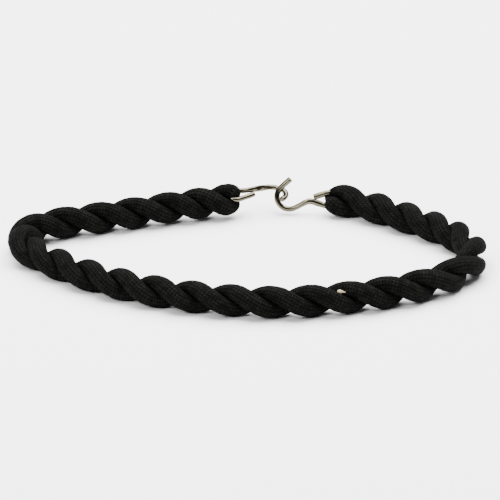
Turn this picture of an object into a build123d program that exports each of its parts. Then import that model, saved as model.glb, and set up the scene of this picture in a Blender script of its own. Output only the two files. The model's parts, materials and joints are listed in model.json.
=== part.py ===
"""Trouser twist: a doubled elastic cord, twisted on itself, closed by two bent wire hooks.

Millimetres, +Z up.  The band lies on a surface as an oval ring: +X runs along the long side,
-Y is the front, and the two hooks are hooked into each other at the back.  The origin is the
bottom centre of the whole object.

The real band is one elastic cord, folded in half and twisted.  Here each of its two plies is
an untwisted half-round strip that fills half of the twisted cord's round envelope, with its
rubber core inside.  The ring is parted at one place on the left, where the band bends open.
"""
import os
from math import cos, pi, radians, sin, tan

from build123d import *

# The twisted cord
cord_diameter = 7.5
ply_gap = 0.06
core_diameter = 2.4
core_play = 0.05
core_inset = 0.04

# The line that the band lies along, from its left end round the front to its right end
route = [
    (-5.7, 29.2), (-13.9, 27.2), (-26.7, 23.1), (-39.2, 18.5), (-49.7, 13.9), (-52.5, 2.9),
    (-46.2, -7.1), (-35.7, -16.7), (-22.7, -24.1), (-7.7, -29.3), (8.3, -31.3), (22.3, -28.3),
    (36.3, -23.3), (47.3, -15.1), (52.1, -4.1), (48.8, 7.4), (40.3, 16.3), (31.7, 24.1),
    (25.7, 29.0), (21.5, 30.1),
]
opening_run = 3
opening_gap = 0.1

# The bights, where each end of the cord turns back through the eye of its hook
bight_diameter = 1.9
bight_room = 0.45
bight_overrun = 1.5
eye_room = 0.3

# The hooks, bent from round wire
wire_diameter = 1.2
eye_clearance = 0.15
eye_start_angle = 68
eye_end_angle = 287
eye_tail = 2.6
hook_play = 1.62
hook_radius = 2.95
hook_offset = 0.35
hook_start_angle = -120
shank_bend_radius = 3.0
wire_end_round = 0.25
left_hook_lift = 1.0
left_hook_end_angle = 35
left_hook_tip = 0.4
right_hook_end_angle = 49
right_hook_tip = 2.4
right_hook_lean = 14
right_hook_turn = 10

# The short end of a rubber core that stands out of its cover on the front of the band
core_end_place = 0.53
core_end_height_angle = 48
core_end_diameter = 1.1
core_end_length = 1.9
core_end_rise = 0.2

cord_radius = cord_diameter / 2
wire_radius = wire_diameter / 2
# A core lies near the middle of its ply's thickness
core_offset = (cord_radius + ply_gap / 2) / 2 - core_inset
# The wire of the eye passes between the two sides of the bight, clear of the cord's end
bight_radius = bight_diameter / 2 + wire_radius + bight_room
eye_radius = bight_diameter / 2 + eye_clearance + wire_radius
bight_reach = eye_radius + wire_radius + eye_room
# A bend is drawn round a polygon with this many corners
arc_corner_count = 3
# Fillets of a polygon round an arc stay a little under the arc's radius, so no run vanishes
fillet_share = 0.97
tangent_share = 0.45


def route_corners():
    """The route's points at the height of the cord's middle."""
    return [Vector(x, y, cord_radius) for x, y in route]


def corner_radius(before, corner, after):
    """The largest smooth arc at a corner of the route."""
    run_in = corner - before
    run_out = after - corner
    half_turn = radians(run_in.get_angle(run_out)) / 2
    return tangent_share * min(run_in.length, run_out.length) / tan(half_turn)


def route_radii(points):
    """One arc radius for each inner point."""
    return [corner_radius(*points[i - 1:i + 2]) for i in range(1, len(points) - 1)]


def parting_points(points):
    """The two ends of the cord where the left arm leaves the rest of the band."""
    start = points[opening_run]
    end = points[opening_run + 1]
    along = (end - start).normalized()
    middle = (start + end) / 2
    return middle - along * opening_gap / 2, middle + along * opening_gap / 2


def cord_paths():
    """The line of the left arm, from the parting to its hook, and that of the rest."""
    points = route_corners()
    radii = route_radii(points)
    arm_end, band_start = parting_points(points)
    arm_points = [arm_end] + points[opening_run::-1]
    band_points = [band_start] + points[opening_run + 1:]
    arm = FilletPolyline(*arm_points, radius=radii[:opening_run][::-1])
    band = FilletPolyline(*band_points, radius=radii[opening_run:])
    return arm, band


def cord_plane(path):
    """The plane square to the start of a cord, with its Y up."""
    across = (path % 0).cross(Vector(0, 0, 1))
    return Plane(origin=path @ 0, x_dir=across, z_dir=path % 0)


def ply_section(side):
    """Half of the cord's round section, with a round channel for the core."""
    whole = Circle(cord_radius) - side * Pos(core_offset, 0) * Circle(core_diameter / 2 + core_play)
    keep = side * Pos(ply_gap / 2 + cord_radius, 0) * Rectangle(2 * cord_radius, 3 * cord_radius)
    return whole & keep


def ply(path, angle):
    """One ply's cover, on the side of the cord that the angle points to."""
    return sweep(cord_plane(path) * ply_section(Rot(0, 0, angle)), path=path)


def core(path, angle):
    """The round rubber core inside one ply."""
    section = Rot(0, 0, angle) * Pos(core_offset, 0) * Circle(core_diameter / 2)
    return sweep(cord_plane(path) * section, path=path)


def flat_hook_frame(eye, direction):
    """The level plane of the left hook: X along it, Y to the front, Z along the bight."""
    return Plane(origin=eye, x_dir=direction, z_dir=Vector(0, 0, -1))


def upright_hook_frame(eye, direction):
    """The plane of the right hook, which leans back: X along it, Y up, Z along the bight."""
    backwards = Vector(direction.Y, -direction.X, 0)
    lean = radians(right_hook_lean)
    across = backwards * sin(lean) + Vector(0, 0, 1) * cos(lean)
    return Plane(origin=eye, x_dir=direction, z_dir=direction.cross(across))


def arc_corners(centre, radius, start_angle, end_angle):
    """The corners of a polygon that an arc touches along every side."""
    step = (end_angle - start_angle) / arc_corner_count
    distance = radius / cos(radians(step) / 2)
    angles = [radians(start_angle + (k + 0.5) * step) for k in range(arc_corner_count)]
    return [centre + Vector(cos(a), sin(a)) * distance for a in angles]


def arc_end(centre, radius, angle, length):
    """A point past the end of an arc, straight on from it."""
    a = radians(angle)
    return centre + Vector(cos(a), sin(a)) * radius + Vector(-sin(a), cos(a)) * length


def shank_corner(eye_centre, bend_centre):
    """Where the line out of the eye meets the line into the hook's bend."""
    a = arc_end(eye_centre, eye_radius, eye_end_angle, 0)
    b = arc_end(bend_centre, hook_radius, hook_start_angle, 0)
    u = Vector(-sin(radians(eye_end_angle)), cos(radians(eye_end_angle)))
    v = Vector(-sin(radians(hook_start_angle)), cos(radians(hook_start_angle)))
    reach = (b - a).cross(v).Z / u.cross(v).Z
    return a + u * reach


def hook_length(left_eye, right_eye):
    """How far each hook reaches from its eye, so that the two bends hold each other."""
    return ((left_eye - right_eye).length + wire_diameter + hook_play) / 2


def hook_wire(frame, reach, end_angle, tip, lift):
    """A wire hook: a pear-shaped eye, a cranked shank and a round bend with its tip."""
    eye_centre = Vector(0, 0)
    bend_centre = Vector(reach - hook_radius, hook_offset)
    raised = Vector(0, 0, lift)
    tail = arc_end(eye_centre, eye_radius, eye_start_angle, -eye_tail)
    eye = arc_corners(eye_centre, eye_radius, eye_start_angle, eye_end_angle)
    bend = arc_corners(bend_centre, hook_radius, hook_start_angle, end_angle)
    shank = shank_corner(eye_centre, bend_centre)
    point = arc_end(bend_centre, hook_radius, end_angle, tip)
    corners = [tail + raised / 2] + eye + [p + raised for p in [shank] + bend + [point]]
    eye_radii = [eye_radius * fillet_share] * arc_corner_count
    bend_radii = [hook_radius * fillet_share] * arc_corner_count
    radii = eye_radii + [shank_bend_radius] + bend_radii
    path = FilletPolyline(*[frame.from_local_coords(p) for p in corners], radius=radii)
    start = Plane(origin=path @ 0, z_dir=path % 0)
    wire = sweep(start * Circle(wire_radius), path=path)
    ends = [e for e in wire.edges() if near_end(e, path)]
    return fillet(ends, wire_end_round)


def near_end(edge, path):
    """True for the round rim at either end of a wire."""
    if edge.geom_type != GeomType.CIRCLE:
        return False
    return min((edge.arc_center - path @ 0).length, (edge.arc_center - path @ 1).length) < 1e-3


def bight(frame, end, outward):
    """The turn of cord that the hook's eye holds, cut square where the plies end."""
    back = -(bight_reach + bight_overrun)
    corners = [(back, 0, bight_radius), (0, 0, bight_radius), (0, 0, -bight_radius),
               (back, 0, -bight_radius)]
    turn = [frame.from_local_coords(Vector(*c)) for c in corners]
    path = FilletPolyline(*turn, radius=bight_radius * fillet_share)
    start = Plane(origin=path @ 0, z_dir=path % 0)
    solid = sweep(start * Circle(bight_diameter / 2), path=path)
    cut = 4 * cord_diameter
    block = Plane(origin=end, z_dir=outward) * Pos(0, 0, -cut / 2) * Box(cut, cut, cut)
    return solid - block


def core_end(path, cover):
    """The pale nub on the outer side of the front, resting on the cover."""
    along = path % core_end_place
    outward = along.cross(Vector(0, 0, 1))
    a = radians(core_end_height_angle)
    side = outward * cos(a) + Vector(0, 0, 1) * sin(a)
    middle = path @ core_end_place + side * (cord_radius + core_end_rise)
    radius = core_end_diameter / 2
    half = core_end_length / 2 - radius
    rod = Cylinder(radius, 2 * half) + Pos(0, 0, half) * Sphere(radius) + Pos(0, 0, -half) * Sphere(radius)
    return Plane(origin=middle, z_dir=along) * rod - cover


def report_cord(name, path, plies, cores):
    """Print a cord's length and arcs, and compare its solids with section times length.

    The outer ply of a curved cord is longer than the inner one, so each pair is added up.
    """
    arcs = [e.radius for e in path.edges() if e.geom_type == GeomType.CIRCLE]
    print(name, "length", round(path.length, 2), "arc radii", [round(r, 1) for r in arcs])
    ply_area = ply_section(Rot(0, 0, 0)).area
    core_area = pi * core_diameter ** 2 / 4
    for kind, pair, area in (("plies", plies, ply_area), ("cores", cores, core_area)):
        volume = sum(solid.volume for solid in pair)
        print(" ", kind, "volume", round(volume, 1), "sections x length", round(2 * area * path.length, 1))


def build():
    """Every piece, by name."""
    arm_path, band_path = cord_paths()
    left_end = arm_path @ 1
    left_out = arm_path % 1
    right_end = band_path @ 1
    right_out = band_path % 1
    left_frame = flat_hook_frame(left_end + left_out * bight_reach, left_out)
    right_way = right_out.rotate(Axis.Z, right_hook_turn)
    right_frame = upright_hook_frame(right_end + right_out * bight_reach, right_way)

    pieces = {}
    # Left arm: the plies lie one above the other.  Rest of the band: one outside the other.
    for name, path, sides in (("arm", arm_path, {"upper": 90, "lower": -90}),
                              ("band", band_path, {"outer": 0, "inner": 180})):
        plies = {f"{name}_ply_{side}": ply(path, angle) for side, angle in sides.items()}
        cores = {f"{name}_core_{side}": core(path, angle) for side, angle in sides.items()}
        report_cord(name, path, plies.values(), cores.values())
        pieces.update(plies)
        pieces.update(cores)
    pieces["left_bight"] = bight(left_frame, left_end, left_out)
    pieces["right_bight"] = bight(right_frame, right_end, right_out)
    reach = hook_length(left_frame.origin, right_frame.origin)
    pieces["left_hook"] = hook_wire(left_frame, reach, left_hook_end_angle, left_hook_tip, -left_hook_lift)
    pieces["right_hook"] = hook_wire(right_frame, reach, right_hook_end_angle, right_hook_tip, 0)
    pieces["core_end"] = core_end(band_path, pieces["band_ply_outer"])
    report_joints(arm_path, band_path, left_frame, right_frame)
    return pieces


def report_joints(arm_path, band_path, left_frame, right_frame):
    """Print where the joints' axes are, in metres."""
    parting = (arm_path @ 0 + band_path @ 0) / 2
    outward = (band_path % 0).cross(Vector(0, 0, 1))
    hinge = parting + outward * cord_radius
    for name, point, axis in (("band_opening", hinge, Vector(0, 0, 1)),
                              ("left_hook_swing", left_frame.origin, Vector(0, 0, 1)),
                              ("right_hook_swing", right_frame.origin, right_frame.z_dir)):
        print(name, [round(v / 1000, 6) for v in point], [round(v, 6) for v in axis])


os.makedirs("parts", exist_ok=True)
for node, solid in build().items():
    export_step(solid, f"parts/{node}.step")
    print(node, "solids", len(solid.solids()), "volume", round(solid.volume, 2))
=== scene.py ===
"""Looks of the trouser twist: a twisted elastic cord, its two wire hooks and a plain studio."""

import json
import math

import bmesh
import bpy
import numpy as np
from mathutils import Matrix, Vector, noise
from mathutils.bvhtree import BVHTree


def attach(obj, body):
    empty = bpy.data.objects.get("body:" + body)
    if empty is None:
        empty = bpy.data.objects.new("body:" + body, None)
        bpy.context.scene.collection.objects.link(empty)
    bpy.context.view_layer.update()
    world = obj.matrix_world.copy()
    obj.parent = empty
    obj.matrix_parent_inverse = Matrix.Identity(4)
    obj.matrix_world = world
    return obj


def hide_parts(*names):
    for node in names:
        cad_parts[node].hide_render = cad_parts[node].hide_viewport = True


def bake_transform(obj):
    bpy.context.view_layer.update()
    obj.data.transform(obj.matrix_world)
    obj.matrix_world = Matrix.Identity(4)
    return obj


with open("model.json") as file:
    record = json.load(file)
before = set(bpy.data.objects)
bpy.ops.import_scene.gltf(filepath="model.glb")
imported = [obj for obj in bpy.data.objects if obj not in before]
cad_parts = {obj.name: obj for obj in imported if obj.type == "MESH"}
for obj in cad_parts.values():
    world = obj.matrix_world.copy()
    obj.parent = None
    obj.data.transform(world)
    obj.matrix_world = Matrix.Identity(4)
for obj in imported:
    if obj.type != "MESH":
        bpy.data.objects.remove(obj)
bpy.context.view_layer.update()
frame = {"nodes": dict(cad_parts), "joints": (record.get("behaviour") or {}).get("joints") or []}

bl_info = {
    "name": "Trouser Twist",
    "version": (1, 0, 0),
    "blender": (4, 5, 0),
    "location": "View3D > Sidebar > Trouser Twist",
    "description": "Builds a twisted elastic trouser band with bent wire hooks",
    "category": "Add Mesh",
}

MM = 0.001

# The line that the cord lies along, from its left end round the front to its right end
ROUTE = [
    (-0.0057, 0.0292), (-0.0139, 0.0270), (-0.0267, 0.0228), (-0.0392, 0.0182),
    (-0.0501, 0.0141), (-0.0537, 0.0040), (-0.0476, -0.0044), (-0.0363, -0.0155),
    (-0.0227, -0.0239), (-0.0077, -0.0290), (0.0083, -0.0310), (0.0223, -0.0279),
    (0.0363, -0.0229), (0.0473, -0.0147), (0.0526, -0.0039), (0.0492, 0.0077),
    (0.0406, 0.0166), (0.0317, 0.0241), (0.0257, 0.0290), (0.0215, 0.0301),
]

# How far the cord's ends stand off the floor: (distance along the cord, height), both in metres
LIFT = [(0.0, 0.0005), (0.012, 0.0003), (0.022, 0.0), (0.222, 0.0), (0.232, 0.0001)]

# How much further apart the strands are near the ends: (distance along the cord, distance)
SPREAD = [(0.0, 0.0001), (0.010, 0.0), (0.220, 0.0), (0.232, 0.0001)]

# How far round the strands have turned: (distance along the cord in metres, half turns)
TWIST = [
    (-0.0026, -0.55), (0.0022, 0.0), (0.0099, 1.13), (0.0350, 4.13), (0.0673, 7.80),
    (0.0865, 9.85), (0.1664, 18.85), (0.1938, 21.30), (0.2089, 23.17), (0.2259, 25.15), (0.2354, 26.08),
]

LEFT, RIGHT = "left", "right"

# The cord is made in two pieces. They meet this far along it, and each runs a little past that.
SEAM = 0.060
SEAM_OVERLAP = 0.15 * MM
FOLD_FADE = 2 * MM
# The left hook hangs high in its bight
LEFT_EYE_LIFT = 1.1 * MM
# How much thinner a bight is in the eye, as a share, and over what length
BIGHT_PINCH = 0.45
BIGHT_PINCH_LENGTH = 0.75 * MM
COVER_TO_WIRE = 0.03 * MM
COVER_FACETS = 44
WIRE_FACETS = 20
WIRE_NICK = 0.02
WIRE_END_ROUNDING = 0.12 * MM
MERGE_DISTANCE = 0.0005 * MM
# The core's end is on the front of the cover, found by going back and down this way
CORE_END_WAY = (0, 0.923, -0.384)
CORE_END_RISE = 0.22 * MM

# Each wire hook in its own plane, millimetres: u along the hook from its eye, v across it.
# Angles run round the eye and round the bend.
SHANK_CORNER = (4.80, -0.31)
EYE_ANGLES = (68, 287)
HOOKS = {
    # raise: how far the wire lies above the eye's middle, as (u, height, height lost per mm of v)
    # flat: (place along the wire, how much wider it is there in the hook's plane)
    LEFT: {"tail": 4.1, "place": (9.2, 0.35), "bend": (-120, 62), "tip": 0.3, "ease": 8,
           "raise": [(0, 1.50, 0.30), (2.5, 1.60, 0.32), (4.5, 1.85, 1.20), (7, 1.50, 0.20),
                     (10, 1.15, 0.17)],
           "flat": [(0.0, 0.05), (0.48, 0.0), (0.56, -0.3), (0.63, -0.3), (0.71, 0.0), (1.0, 0.1)]},
    RIGHT: {"tail": 3.3, "place": (9.55, 0.35), "bend": (-120, 49), "tip": 3.1, "ease": 8,
            "raise": [(0, 0, 0), (12, 0, 0)],
            "flat": [(0.0, 0.15), (0.2, 0.1), (0.35, 0.0), (0.4, 0.22), (0.46, 0.18), (0.56, 0.0),
                     (1.0, 0.08)]},
}


def linear(code):
    """A colour's sRGB hex code as linear values."""
    parts = [int(code[i:i + 2], 16) / 255 for i in (1, 3, 5)]
    return [p / 12.92 if p <= 0.04045 else ((p + 0.055) / 1.055) ** 2.4 for p in parts]


# ---------------------------------------------------------------- sizes and colours

class TrouserTwistSizes(bpy.types.PropertyGroup):
    """The sizes that a user would change."""

    cord_height: bpy.props.FloatProperty(
        name="Cord height", description="Height of the twisted cord's middle",
        default=3.75 * MM, unit="LENGTH")
    strand_offset: bpy.props.FloatProperty(
        name="Strand offset", description="From the cord's middle to a strand's middle",
        default=1.82 * MM, unit="LENGTH")
    strand_radius: bpy.props.FloatProperty(
        name="Strand radius", description="Half a strand's thickness, towards the other strand",
        default=1.86 * MM, unit="LENGTH")
    strand_half_width: bpy.props.FloatProperty(
        name="Strand half width", description="Half a strand's width, squeezed by the other strand",
        default=2.14 * MM, unit="LENGTH")
    crinkle: bpy.props.FloatProperty(
        name="Crinkle", description="Height of the slack cover's small folds",
        default=0.045 * MM, unit="LENGTH")
    ring_step: bpy.props.FloatProperty(
        name="Ring step", description="Length of cover between two rings of the mesh",
        default=0.22 * MM, unit="LENGTH")
    wire_radius: bpy.props.FloatProperty(
        name="Wire radius", description="Half the thickness of the hooks' wire",
        default=0.63 * MM, unit="LENGTH")
    eye_radius: bpy.props.FloatProperty(
        name="Eye radius", description="Bend radius of the eye round the cord",
        default=1.7 * MM, unit="LENGTH")
    bend_radius: bpy.props.FloatProperty(
        name="Hook bend radius", description="Bend radius of the hook",
        default=2.95 * MM, unit="LENGTH")
    stitch_length: bpy.props.FloatProperty(
        name="Stitch length", description="Length of one knitted stitch along the strand",
        default=0.62 * MM, unit="LENGTH")
    stitch_width: bpy.props.FloatProperty(
        name="Stitch width", description="Width of one column of stitches",
        default=0.74 * MM, unit="LENGTH")


class TrouserTwistColours(bpy.types.PropertyGroup):
    """The colours that a user would change."""

    cover: bpy.props.FloatVectorProperty(
        name="Cover", description="The black yarn of the knitted cover",
        default=linear("#030303"), subtype="COLOR")
    # Colour of worn patches and fibres, and the painted highlight on the raised stitches
    worn_and_lit_cover: bpy.props.FloatVectorProperty(
        name="Worn cover", description="The yarn where it stands up and catches dust",
        default=linear("#171815"), subtype="COLOR")
    wire: bpy.props.FloatVectorProperty(
        name="Wire", description="The nickel plating of the hooks",
        default=linear("#635E4F"), subtype="COLOR")
    core: bpy.props.FloatVectorProperty(
        name="Core", description="The natural rubber core",
        default=linear("#BDB298"), subtype="COLOR")
    floor: bpy.props.FloatVectorProperty(
        name="Floor", description="The studio floor",
        default=linear("#F4F4F4"), subtype="COLOR")


# ---------------------------------------------------------------- lines

def smooth_route(height):
    """Points read from the smooth line that the route's points control."""
    curve = bpy.data.curves.new("route", "CURVE")
    curve.dimensions = "3D"
    curve.resolution_u = 32
    spline = curve.splines.new("NURBS")
    spline.points.add(len(ROUTE) - 1)
    for point, (x, y) in zip(spline.points, ROUTE):
        point.co = (x, y, height, 1)
    spline.order_u = 3
    spline.use_endpoint_u = True
    holder = bpy.data.objects.new("route", curve)
    mesh = bpy.data.meshes.new_from_object(holder)
    line = np.array([v.co for v in mesh.vertices])
    bpy.data.objects.remove(holder)
    bpy.data.meshes.remove(mesh)
    bpy.data.curves.remove(curve)
    return line


def distances(line):
    """How far along the line each of its points is."""
    steps = np.linalg.norm(np.diff(line, axis=0), axis=1)
    return np.concatenate([[0], np.cumsum(steps)])


def at(line, places):
    """The points of a line at some distances along it."""
    along = distances(line)
    return np.stack([np.interp(places, along, line[:, k]) for k in range(3)], axis=1)


def unit(vectors):
    """Vectors made one long."""
    return vectors / np.linalg.norm(vectors, axis=-1, keepdims=True)


def eased(values, half_width):
    """A moving average that keeps both ends."""
    padded = np.pad(values, [(half_width, half_width)] + [(0, 0)] * (values.ndim - 1), mode="reflect",
                    reflect_type="odd")
    total = np.cumsum(np.concatenate([np.zeros_like(padded[:1]), padded]), axis=0)
    width = 2 * half_width + 1
    return (total[width:] - total[:-width]) / width


def twist_angle(places):
    """The strands' turn round the cord, in radians, at some distances along it."""
    step = 0.5 * MM
    marks = np.array(TWIST)
    grid = np.arange(marks[0, 0], marks[-1, 0] + step, step)
    turns = eased(np.interp(grid, marks[:, 0], marks[:, 1]), 9)
    return math.pi * np.interp(places, grid, turns)


def joint_vector(name, field):
    """A joint's place or axis in the frame."""
    joint = next(j for j in frame["joints"] if j["name"] == name)
    return np.array(joint[field])


def joint_place(name):
    """Where a joint of the frame is."""
    return joint_vector(name, "pos_m")


class Cord:
    """The twisted cord's middle line, which runs on to the hooks' eyes at both ends."""

    def __init__(self, sizes):
        self.offset = sizes.strand_offset
        self.line = smooth_route(sizes.cord_height)
        self.length = distances(self.line)[-1]
        marks = np.array(LIFT)
        self.line[:, 2] += np.interp(distances(self.line), marks[:, 0], marks[:, 1])
        self.eyes = [joint_place("left_hook_swing") + (0, 0, LEFT_EYE_LIFT), joint_place("right_hook_swing")]
        self.reach = float(np.linalg.norm(self.eyes[0] - self.line[0]))

    def middle(self, places):
        """The cord's middle, straight on towards the eyes past its ends."""
        inside = at(self.line, np.clip(places, 0, self.length))
        before = np.clip(-places, 0, None)[:, None] / self.reach
        after = np.clip(places - self.length, 0, None)[:, None] / self.reach
        inside = inside + before * (self.eyes[0] - self.line[0])
        return inside + after * (self.eyes[1] - self.line[-1])

    def away(self, places):
        """The way from the cord's middle to the first strand."""
        nudge = 0.2 * MM
        inner = np.clip(places, nudge, self.length - nudge)
        ahead = unit(at(self.line, inner + nudge) - at(self.line, inner - nudge))
        up = np.array([0.0, 0.0, 1.0])
        side = np.cross(up, ahead)
        turn = twist_angle(places)[:, None]
        return np.cos(turn) * side + np.sin(turn) * up

    def strand(self, places, sign):
        """The middle of a strand, closing onto the cord's middle at the eyes."""
        past = np.clip(np.maximum(-places, places - self.length), 0, self.reach)
        share = np.sqrt(np.clip(1 - (past / self.reach) ** 2, 0, 1))[:, None]
        marks = np.array(SPREAD)
        offset = self.offset + np.interp(places, marks[:, 0], marks[:, 1])[:, None]
        return self.middle(places) + sign * offset * share * self.away(places)


def turned_back(cord, seam, end, step):
    """The line of the cord that runs from a seam to an eye, through it and back.

    Returns evenly spaced points, the cord's middle beside each, and the distance to the eye.
    """
    span = abs(end - seam) - cord.reach
    straight = np.arange(0, span, step)
    curl = span + cord.reach * np.sin(np.linspace(0, math.pi / 2, 24))
    along = np.concatenate([straight, curl])
    places = seam + math.copysign(1, end - seam) * along
    there = cord.strand(places, 1)
    back = cord.strand(places, -1)[::-1]
    line = np.concatenate([there, back[1:]])
    middles = np.concatenate([cord.middle(places), cord.middle(places)[::-1][1:]])
    total = distances(line)
    even = np.linspace(0, total[-1], int(total[-1] / step) + 1)
    even_line = at(line, even)
    for _ in range(2):
        even_line = eased(even_line, 2)
    even_middles = np.stack([np.interp(even, total, middles[:, k]) for k in range(3)], axis=1)
    eye_distance = np.abs(even - total[-1] / 2)
    return even_line, even_middles, eye_distance


def carried_frames(line):
    """A pair of directions across the line at each point, carried along it without turning."""
    ahead = unit(np.gradient(line, axis=0))
    first = np.cross(ahead[0], (0.3, 0.2, 1.0))
    across = [first / np.linalg.norm(first)]
    for tangent in ahead[1:]:
        moved = across[-1] - tangent * across[-1].dot(tangent)
        across.append(moved / np.linalg.norm(moved))
    across = np.array(across)
    return across, np.cross(ahead, across)


# ---------------------------------------------------------------- meshes

def new_piece(name, mesh_maker):
    """An object at the origin whose mesh is made by a bmesh function."""
    mesh = bpy.data.meshes.new(name)
    shape = bmesh.new()
    mesh_maker(shape)
    shape.to_mesh(mesh)
    shape.free()
    mesh.shade_smooth()
    piece = bpy.data.objects.new(name, mesh)
    bpy.context.scene.collection.objects.link(piece)
    return piece


def ring_and_angle(vertex, rings):
    """Which ring a vertex of a flat grid rolls into, and how far round it."""
    return round((vertex.co.x + 1) / 2 * (rings - 1)), (vertex.co.y + 1) * math.pi


def cover_height(along, angle, radius, sizes):
    """How far the slack cover stands out at a place on the strand, in metres."""
    y = math.cos(angle) * radius
    z = math.sin(angle) * radius
    # Small folds lie mostly across the strand, as on a cover that the rubber has drawn up
    folds = noise.noise(Vector((along / (0.8 * MM), y / (2.0 * MM), z / (2.0 * MM))))
    lumps = noise.noise(Vector((along / (3.5 * MM), y / (2.5 * MM), z / (2.5 * MM) + 7)))
    return sizes.crinkle * (folds + 0.9 * lumps)


def rolled_cover(shape, line, middles, eye_distance, start, sizes):
    """The knitted cover: a flat sheet, rolled round the line of a strand and joined."""
    rings = len(line)
    layer = shape.loops.layers.uv.new("UVMap")
    made = bmesh.ops.create_grid(
        shape, x_segments=rings - 1, y_segments=COVER_FACETS, size=1, calc_uvs=True)
    across, beside = carried_frames(line)
    apart = np.linalg.norm(middles - line, axis=1)
    squeeze = np.clip(apart / sizes.strand_offset, 0, 1) ** 2
    inward = unit(middles - line + 1e-9)
    step = float(distances(line)[-1]) / (rings - 1)
    pinch = 1 - BIGHT_PINCH * np.exp(-(eye_distance / BIGHT_PINCH_LENGTH) ** 2)
    # The folds fade out where the two halves of the cord meet
    from_seam = np.minimum(np.arange(rings), np.arange(rings)[::-1]) * step
    folded = np.clip(from_seam / FOLD_FADE, 0, 1)
    for vertex in made["verts"]:
        ring, angle = ring_and_angle(vertex, rings)
        way = across[ring] * math.cos(angle) + beside[ring] * math.sin(angle)
        facing = float(way.dot(inward[ring])) ** 2
        deep = max(sizes.strand_radius, 1.02 * float(apart[ring]))
        wide = sizes.strand_radius + (sizes.strand_half_width - sizes.strand_radius) * float(squeeze[ring])
        radius = (facing / deep ** 2 + (1 - facing) / wide ** 2) ** -0.5 * float(pinch[ring])
        radius += float(folded[ring]) * cover_height(start + ring * step, angle, sizes.strand_radius, sizes)
        vertex.co = line[ring] + way * radius
    girth = 2 * math.pi * sizes.strand_radius
    for face in shape.faces:
        for loop in face.loops:
            u, v = loop[layer].uv
            loop[layer].uv = ((start + u * step * (rings - 1)) / MM, v * girth / MM)
    bmesh.ops.remove_doubles(shape, verts=shape.verts, dist=MERGE_DISTANCE)
    bmesh.ops.recalc_face_normals(shape, faces=shape.faces)


def arc(centre, radius, angles):
    """Points round an arc, as (u, v)."""
    turns = np.radians(np.linspace(*angles, 40))
    return np.stack([centre[0] + radius * np.cos(turns), centre[1] + radius * np.sin(turns)], axis=1)


def hook_line(side, sizes):
    """The middle of a hook's wire from its tail to its tip, and the flat way at each point."""
    shape = HOOKS[side]
    eye = arc((0, 0), sizes.eye_radius / MM, EYE_ANGLES)
    bend = arc(shape["place"], sizes.bend_radius / MM, shape["bend"])
    tail = eye[0] - unit(eye[1] - eye[0]) * shape["tail"]
    tip = bend[-1] + unit(bend[-1] - bend[-2]) * shape["tip"]
    corners = np.concatenate([[tail], eye, [SHANK_CORNER], bend, [tip]])
    total = distances(corners)[-1]
    flat = np.stack([np.interp(np.arange(0, total, 0.1), distances(corners), corners[:, k])
                     for k in range(2)], axis=1)
    for _ in range(2):
        flat = eased(flat, shape["ease"])
    marks = np.array(shape["raise"])
    height = np.interp(flat[:, 0], marks[:, 0], marks[:, 1])
    height -= np.interp(flat[:, 0], marks[:, 0], marks[:, 2]) * flat[:, 1]
    height = eased(eased(height, 10), 6)
    u_way, v_way, w_way, eye_place = hook_frame(side)
    line = eye_place + MM * (flat[:, :1] * u_way + flat[:, 1:] * v_way + height[:, None] * w_way)
    ahead = unit(np.gradient(line, axis=0))
    return line, unit(np.cross(ahead, w_way))


def hook_frame(side):
    """A hook's own directions: along it, across it and square to its plane; and its eye."""
    ends = {LEFT: (ROUTE[0], "left_hook_swing"), RIGHT: (ROUTE[-1], "right_hook_swing")}
    (x, y), joint = ends[side]
    eye = joint_place(joint)
    out = unit(eye[:2] - np.array((x, y)))
    if side == LEFT:
        along = np.array([out[0], out[1], 0])
        square = np.array([0.0, 0.0, 1.0])
        return along, np.cross(along, square), square, eye
    square = -unit(joint_vector(joint, "axis"))
    along = unit(np.cross((0.0, 0.0, 1.0), square))
    along = along if along[0] < 0 else -along
    across = np.cross(square, along)
    across = across if across[2] > 0 else -across
    return along, across, square, eye


def bent_wire(shape, line, ways, flatness, sizes):
    """A drawn wire bent along a line, pressed flatter in places, with sheared ends."""
    rings = len(line)
    made = bmesh.ops.create_grid(
        shape, x_segments=rings - 1, y_segments=WIRE_FACETS, size=1, calc_uvs=True)
    ahead = unit(np.gradient(line, axis=0))
    squares = np.cross(ways, ahead)
    marks = np.array(flatness)
    for vertex in made["verts"]:
        ring, angle = ring_and_angle(vertex, rings)
        wide = float(np.interp(ring / (rings - 1), marks[:, 0], marks[:, 1]))
        nicks = WIRE_NICK * noise.noise(Vector((ring * 0.12, math.cos(angle), math.sin(angle))))
        out = ways[ring] * math.cos(angle) * (1 + wide) + squares[ring] * math.sin(angle) * (1 - 0.6 * wide)
        vertex.co = line[ring] + out * sizes.wire_radius * (1 + nicks)
    bmesh.ops.remove_doubles(shape, verts=shape.verts, dist=MERGE_DISTANCE)
    ends = [edge for edge in shape.edges if edge.is_boundary]
    bmesh.ops.holes_fill(shape, edges=ends)
    bmesh.ops.bevel(shape, geom=ends, offset=WIRE_END_ROUNDING, segments=3, profile=0.5, affect="EDGES")
    bmesh.ops.recalc_face_normals(shape, faces=shape.faces)


def surface_of(piece):
    """A piece's surface, ready to be searched."""
    mesh = piece.data
    return BVHTree.FromPolygons([v.co for v in mesh.vertices], [tuple(p.vertices) for p in mesh.polygons])


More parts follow.
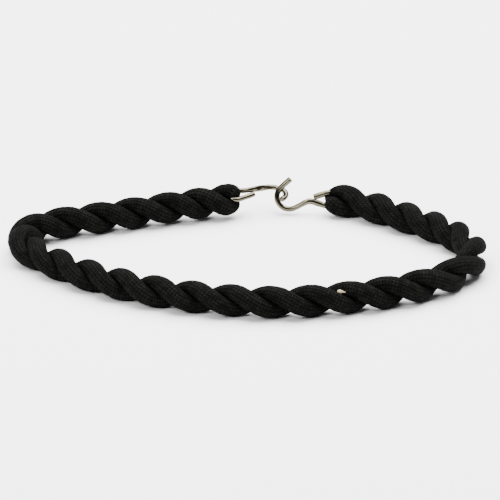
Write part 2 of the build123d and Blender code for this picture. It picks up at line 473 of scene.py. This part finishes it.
def cut_core(shape):
    """A blunt end of rubber thread with a thin torn tail, half sunk in the cover."""
    node = frame["nodes"]["core_end"].data
    places = np.array([v.co for v in node.vertices])
    tree = surface_of(bpy.data.objects["right_cord"])
    outside = Vector(places.mean(axis=0)) + Vector((-0.1, -5.0, 2.0)) * MM
    place, normal, _, _ = tree.ray_cast(outside, Vector(CORE_END_WAY), 20 * MM)
    middle = place + normal * CORE_END_RISE
    made = bmesh.ops.create_icosphere(shape, subdivisions=5, radius=1)
    for vertex in made["verts"]:
        x, y, z = vertex.co
        rough = 1 + 0.16 * noise.noise(vertex.co * 2.3) + 0.05 * noise.noise(vertex.co * 7)
        tail = max(0.0, x) ** 2
        slim = 1 - 0.8 * tail ** 0.6
        length = 0.58 * x * rough + 1.0 * tail - 0.3
        width = 0.44 * y * rough * slim
        height = 0.42 * z * rough * slim - 0.2 * tail
        vertex.co = middle + MM * Vector((length, width, height))


def press_round(piece, hard_piece, margin):
    """Moves a soft piece's surface out of a hard one that it is pressed against."""
    tree = surface_of(hard_piece)
    for vertex in piece.data.vertices:
        place, normal, _, far = tree.find_nearest(vertex.co, 1.0 * MM)
        if place is None:
            continue
        height = (vertex.co - place).dot(normal)
        inside = height < 0
        if inside or far < margin:
            away = normal if inside or far < 1e-7 else (vertex.co - place) / far
            vertex.co = place + away * margin


# ---------------------------------------------------------------- materials

def add(tree, kind, inputs=None, links=None, **settings):
    """One node with its settings, plain values and links from other nodes' sockets."""
    made = tree.nodes.new(kind)
    for name, value in settings.items():
        setattr(made, name, value)
    for name, value in (inputs or {}).items():
        made.inputs[name].default_value = value
    for name, socket in (links or {}).items():
        tree.links.new(socket, made.inputs[name])
    return made


def new_material(name):
    """An empty node material and its surface shader."""
    material = bpy.data.materials.new(name)
    material.use_nodes = True
    tree = material.node_tree
    tree.nodes.clear()
    shader = add(tree, "ShaderNodeBsdfPrincipled")
    add(tree, "ShaderNodeOutputMaterial", links={"Surface": shader.outputs["BSDF"]})
    return material, tree, shader


def math_node(tree, operation, first, second=None):
    """A sum on one or two sockets or numbers."""
    made = add(tree, "ShaderNodeMath", operation=operation)
    for socket, value in zip(made.inputs, (first, second)):
        if isinstance(value, bpy.types.NodeSocket):
            tree.links.new(value, socket)
        elif value is not None:
            socket.default_value = value
    return made.outputs[0]


def knitted_cover(sizes, colours):
    """Black polyester yarn knitted over rubber: deep matt black that greys a little in worn patches and,
    as a painted highlight, on its raised stitches, with slack small folds and no gloss."""
    material, tree, shader = new_material("knitted_black_cover")
    place = add(tree, "ShaderNodeUVMap", uv_map="UVMap").outputs["UV"]
    parts = add(tree, "ShaderNodeSeparateXYZ", links={0: place})
    solid = add(tree, "ShaderNodeTexCoord").outputs["Object"]
    # Stitches: V-shaped loops in columns along the strand
    column = math_node(tree, "MULTIPLY", parts.outputs["Y"], 2 * math.pi / (sizes.stitch_width / MM))
    lean = math_node(tree, "MULTIPLY", math_node(tree, "COSINE", column), 1.3)
    course = math_node(tree, "MULTIPLY", parts.outputs["X"], 2 * math.pi / (sizes.stitch_length / MM))
    loop = math_node(tree, "SINE", math_node(tree, "ADD", course, lean))
    rib = math_node(tree, "ABSOLUTE", math_node(tree, "SINE", math_node(tree, "MULTIPLY", column, 0.5)))
    stitch = math_node(tree, "MULTIPLY_ADD", loop, 0.5)
    tree.links.new(rib, stitch.node.inputs[2])
    # Yarn fibres, a few tenths of a millimetre across
    fibre = add(tree, "ShaderNodeTexNoise", {"Scale": 1 / (0.45 * MM), "Detail": 3.0, "Roughness": 0.6},
                {"Vector": solid}).outputs["Fac"]
    patch = add(tree, "ShaderNodeTexNoise", {"Scale": 1 / (1.6 * MM), "Detail": 2.0},
                {"Vector": solid}).outputs["Fac"]
    height = math_node(tree, "MULTIPLY_ADD", fibre, 1.2)
    tree.links.new(stitch, height.node.inputs[2])
    # Painted highlight on the tops of the loops, which are lighter than the gaps between them, and painted
    # shade in the gaps; more so in worn patches
    loops = add(tree, "ShaderNodeMapRange", {"From Min": 0.2, "From Max": 1.3}, {"Value": stitch})
    worn = add(tree, "ShaderNodeMapRange", {"From Min": 0.38, "From Max": 0.62, "To Min": 0.25,
                                            "To Max": 1.0}, {"Value": patch})
    hairy = add(tree, "ShaderNodeMapRange", {"From Min": 0.3, "From Max": 0.7, "To Min": 0.4,
                                             "To Max": 1.3}, {"Value": fibre})
    # Painted highlight on the loop tops, mixed with real wear from the patches and fibres
    raised = math_node(tree, "MULTIPLY", loops.outputs[0], worn.outputs[0])
    highlight_and_wear = add(tree, "ShaderNodeMath", links={0: raised, 1: hairy.outputs[0]}, operation="MULTIPLY")
    colour = add(tree, "ShaderNodeMix", links={"Factor": highlight_and_wear.outputs[0]}, data_type="RGBA")
    colour.inputs["A"].default_value = (*colours.cover, 1)
    colour.inputs["B"].default_value = (*colours.worn_and_lit_cover, 1)
    bump = add(tree, "ShaderNodeBump", {"Strength": 1.0, "Distance": 0.12 * MM}, {"Height": height})
    rough = add(tree, "ShaderNodeMapRange", {"To Min": 0.75, "To Max": 0.95}, {"Value": fibre})
    tree.links.new(colour.outputs["Result"], shader.inputs["Base Color"])
    tree.links.new(rough.outputs[0], shader.inputs["Roughness"])
    tree.links.new(bump.outputs[0], shader.inputs["Normal"])
    shader.inputs["Specular IOR Level"].default_value = 0.03
    return material


def plated_wire(colours):
    """Nickel-plated spring steel wire, drawn and bent on a machine: bright and slightly warm,
    with faint scuffs where it rubs."""
    material, tree, shader = new_material("nickel_plated_wire")
    solid = add(tree, "ShaderNodeTexCoord").outputs["Object"]
    scuff = add(tree, "ShaderNodeTexNoise", {"Scale": 1 / (0.5 * MM), "Detail": 4.0, "Roughness": 0.7},
                {"Vector": solid}).outputs["Fac"]
    wide = add(tree, "ShaderNodeTexNoise", {"Scale": 1 / (2.5 * MM), "Detail": 2.0},
               {"Vector": solid}).outputs["Fac"]
    rough = add(tree, "ShaderNodeMapRange", {"From Min": 0.35, "From Max": 0.7, "To Min": 0.10,
                                             "To Max": 0.28}, {"Value": scuff})
    tint = add(tree, "ShaderNodeMix", links={"Factor": wide}, data_type="RGBA")
    tint.inputs["A"].default_value = (*colours.wire, 1)
    tint.inputs["B"].default_value = (*[c * 0.42 for c in colours.wire], 1)
    bump = add(tree, "ShaderNodeBump", {"Strength": 0.3, "Distance": 0.01 * MM}, {"Height": scuff})
    tree.links.new(tint.outputs["Result"], shader.inputs["Base Color"])
    tree.links.new(rough.outputs[0], shader.inputs["Roughness"])
    tree.links.new(bump.outputs[0], shader.inputs["Normal"])
    shader.inputs["Metallic"].default_value = 1.0
    return material


def natural_rubber(colours):
    """Natural rubber thread: cream, dull and slightly see-through, darker in mottled patches."""
    material, tree, shader = new_material("natural_rubber_core")
    solid = add(tree, "ShaderNodeTexCoord").outputs["Object"]
    mottle = add(tree, "ShaderNodeTexNoise", {"Scale": 1 / (0.6 * MM), "Detail": 3.0},
                 {"Vector": solid}).outputs["Fac"]
    colour = add(tree, "ShaderNodeMix", links={"Factor": mottle}, data_type="RGBA")
    colour.inputs["A"].default_value = (*colours.core, 1)
    colour.inputs["B"].default_value = (*[c * s for c, s in zip(colours.core, (0.62, 0.54, 0.42))], 1)
    bump = add(tree, "ShaderNodeBump", {"Strength": 0.5, "Distance": 0.05 * MM}, {"Height": mottle})
    tree.links.new(colour.outputs["Result"], shader.inputs["Base Color"])
    tree.links.new(bump.outputs[0], shader.inputs["Normal"])
    shader.inputs["Roughness"].default_value = 0.6
    shader.inputs["Subsurface Weight"].default_value = 0.2
    shader.inputs["Subsurface Radius"].default_value = (0.0006, 0.0004, 0.0002)
    return material


def studio_floor(colours):
    """Seamless white paper: even and dull."""
    material, tree, shader = new_material("white_paper")
    shader.inputs["Base Color"].default_value = (*colours.floor, 1)
    shader.inputs["Roughness"].default_value = 0.9
    shader.inputs["Specular IOR Level"].default_value = 0.1
    return material


# ---------------------------------------------------------------- operators

class TROUSERTWIST_OT_cord(bpy.types.Operator):
    """Make the twisted elastic cord, with the bights that turn back through the hooks' eyes"""

    bl_idname = "trouser_twist.cord"
    bl_label = "Twisted Cord"

    def execute(self, context):
        sizes = context.scene.trouser_twist_sizes
        colours = context.scene.trouser_twist_colours
        cord = Cord(sizes)
        material = knitted_cover(sizes, colours)
        ends = {LEFT: -cord.reach, RIGHT: cord.length + cord.reach}
        for side, end in ends.items():
            seam = SEAM - math.copysign(SEAM_OVERLAP, end - SEAM)
            line, middles, eye_distance = turned_back(cord, seam, end, sizes.ring_step)
            piece = new_piece(f"{side}_cord", lambda shape: rolled_cover(
                shape, line, middles, eye_distance, 0.0 if side == LEFT else 0.2, sizes))
            press_round(piece, bpy.data.objects[f"{side}_wire_hook"], COVER_TO_WIRE)
            piece.data.materials.append(material)
            if side == LEFT:
                self.bend_open(piece)
                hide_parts("arm_ply_upper", "arm_ply_lower", "arm_core_upper",
                            "arm_core_lower", "left_bight")
            else:
                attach(piece, "band")
                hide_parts("band_ply_outer", "band_ply_inner", "band_core_outer",
                            "band_core_inner", "right_bight")
        return {"FINISHED"}

    def bend_open(self, piece):
        """Bakes the left cord's placement into its mesh."""
        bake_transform(piece)


class TROUSERTWIST_OT_hooks(bpy.types.Operator):
    """Finish the two wire hooks"""

    bl_idname = "trouser_twist.hooks"
    bl_label = "Wire Hooks"

    def execute(self, context):
        sizes = context.scene.trouser_twist_sizes
        material = plated_wire(context.scene.trouser_twist_colours)
        for side, body in ((LEFT, "left_clasp"), (RIGHT, "right_clasp")):
            line, normals = hook_line(side, sizes)
            piece = new_piece(f"{side}_wire_hook", lambda shape: bent_wire(
                shape, line, normals, HOOKS[side]["flat"], sizes))
            piece.data.materials.append(material)
            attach(piece, body)
            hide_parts(f"{side}_hook")
        return {"FINISHED"}


class TROUSERTWIST_OT_core_end(bpy.types.Operator):
    """Finish the short end of rubber core that stands out of the cover"""

    bl_idname = "trouser_twist.core_end"
    bl_label = "Core End"

    def execute(self, context):
        piece = new_piece("cut_core_end", cut_core)
        piece.data.materials.append(natural_rubber(context.scene.trouser_twist_colours))
        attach(piece, "band")
        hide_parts("core_end")
        return {"FINISHED"}


class TROUSERTWIST_OT_stage(bpy.types.Operator):
    """Lay the floor, light it softly and set the camera"""

    bl_idname = "trouser_twist.stage"
    bl_label = "Stage"

    def execute(self, context):
        self.floor(context)
        self.lights()
        self.world(context)
        self.camera(context)
        return {"FINISHED"}

    def floor(self, context):
        """A wide sheet of white paper under the band."""
        floor = new_piece("studio_floor", lambda shape: bmesh.ops.create_grid(
            shape, x_segments=1, y_segments=1, size=3.0))
        floor.data.materials.append(studio_floor(context.scene.trouser_twist_colours))

    def lights(self):
        """A large soft light overhead and a weaker one from the front left."""
        for name, place, size, power in (("overhead", (0.05, 0.3, 0.9), 1.3, 75),
                                         ("front", (-0.55, -0.7, 0.7), 0.5, 12)):
            light = bpy.data.lights.new(name, "AREA")
            light.size = size
            light.energy = power
            lamp = bpy.data.objects.new(name, light)
            lamp.location = place
            lamp.rotation_euler = (-Vector(place)).to_track_quat("-Z", "Y").to_euler()
            bpy.context.scene.collection.objects.link(lamp)

    def world(self, context):
        """An even white room that is darker behind the camera, for the wire to mirror."""
        world = bpy.data.worlds.new("white_room")
        context.scene.world = world
        world.use_nodes = True
        tree = world.node_tree
        tree.nodes.clear()
        way = add(tree, "ShaderNodeTexCoord").outputs["Generated"]
        parts = add(tree, "ShaderNodeSeparateXYZ", links={0: way})
        front = add(tree, "ShaderNodeMapRange", {"From Min": -0.9, "From Max": 0.3, "To Min": 0.15,
                                                 "To Max": 1.0}, {"Value": parts.outputs["Y"]})
        low = add(tree, "ShaderNodeMapRange", {"From Min": 0.1, "From Max": 0.8, "To Min": 0.02,
                                               "To Max": 0.9}, {"Value": parts.outputs["Z"]})
        shade = add(tree, "ShaderNodeMath", operation="MULTIPLY", links={0: front.outputs[0]})
        tree.links.new(low.outputs[0], shade.inputs[1])
        back = add(tree, "ShaderNodeBackground", {"Color": (1.0, 1.0, 1.0, 1.0)},
                   {"Strength": shade.outputs[0]})
        add(tree, "ShaderNodeOutputWorld", links={"Surface": back.outputs[0]})

    def camera(self, context):
        """A long lens, a little above the front of the band."""
        elevation = math.radians(22.6)
        target = Vector((0.3, -0.835, 4.12)) * MM
        distance = 1.5
        back = Vector((0, -math.cos(elevation), math.sin(elevation)))
        camera = bpy.data.objects.new("camera", bpy.data.cameras.new("camera"))
        camera.data.lens = 469.6
        camera.data.clip_start = 0.1
        camera.location = target + back * distance
        camera.rotation_euler = (math.radians(90) - elevation, 0, 0)
        context.scene.collection.objects.link(camera)
        context.scene.camera = camera


class TROUSERTWIST_PT_panel(bpy.types.Panel):
    """The sidebar panel of the trouser twist"""

    bl_idname = "TROUSERTWIST_PT_panel"
    bl_label = "Trouser Twist"
    bl_space_type = "VIEW_3D"
    bl_region_type = "UI"
    bl_category = "Trouser Twist"

    def draw(self, context):
        for name in TrouserTwistSizes.__annotations__:
            self.layout.prop(context.scene.trouser_twist_sizes, name)
        for name in TrouserTwistColours.__annotations__:
            self.layout.prop(context.scene.trouser_twist_colours, name)
        for step in STEPS:
            self.layout.operator(step.bl_idname)


STEPS = (TROUSERTWIST_OT_stage, TROUSERTWIST_OT_hooks, TROUSERTWIST_OT_cord, TROUSERTWIST_OT_core_end)
CLASSES = (TrouserTwistSizes, TrouserTwistColours, *STEPS, TROUSERTWIST_PT_panel)


def register():
    for made in CLASSES:
        bpy.utils.register_class(made)
    bpy.types.Scene.trouser_twist_sizes = bpy.props.PointerProperty(type=TrouserTwistSizes)
    bpy.types.Scene.trouser_twist_colours = bpy.props.PointerProperty(type=TrouserTwistColours)


def unregister():
    del bpy.types.Scene.trouser_twist_colours
    del bpy.types.Scene.trouser_twist_sizes
    for made in reversed(CLASSES):
        bpy.utils.unregister_class(made)


def main():
    """Builds everything."""
    register()
    bpy.ops.trouser_twist.stage()
    bpy.ops.trouser_twist.hooks()
    bpy.ops.trouser_twist.cord()
    bpy.ops.trouser_twist.core_end()


if __name__ == "__main__":
    main()
